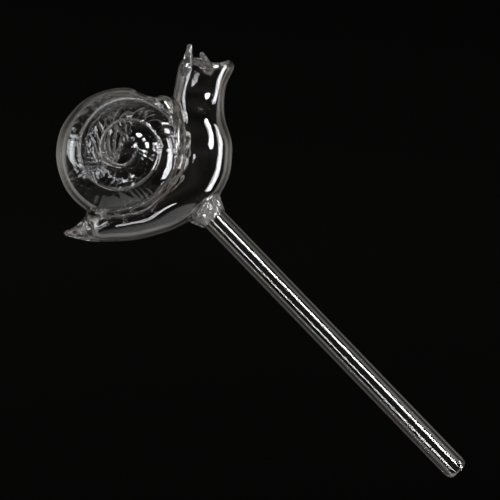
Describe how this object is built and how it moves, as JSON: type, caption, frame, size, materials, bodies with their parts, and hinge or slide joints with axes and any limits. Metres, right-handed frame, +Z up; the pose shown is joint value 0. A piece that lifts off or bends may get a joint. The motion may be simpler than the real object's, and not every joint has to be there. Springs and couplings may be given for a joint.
{
  "type": "plant watering globe",
  "caption": "Hollow clear-glass snail with a ribbed spiral shell on a slanting tube stem, filled through the stem and pushed into plant soil to water it.",
  "frame": {"origin": "on the stem's axis, where the stem leaves its weld collar below the snail's chest", "axes": "+Z up with the snail level, +X towards the snail's head and the stem's mouth, -Y towards the snail's right side"},
  "size_m": [0.1513, 0.034, 0.1597],
  "materials": {
    "blown_glass": "clear blown borosilicate glass, fire-polished",
    "tube_glass": "clear drawn glass tube, smooth",
    "weld_glass": "fused glass bead, slightly uneven",
    "rod_glass": "solid drawn glass, fire-polished"
  },
  "bodies": {
    "root": {"body": "blown_glass", "shell": "blown_glass", "shell_seal": "weld_glass", "stem_tube": "tube_glass", "stem_collar": "weld_glass", "mouth_lip": "weld_glass", "tail_tip": "rod_glass", "right_tentacle": "rod_glass", "left_tentacle": "rod_glass"}
  },
  "joints": []
}
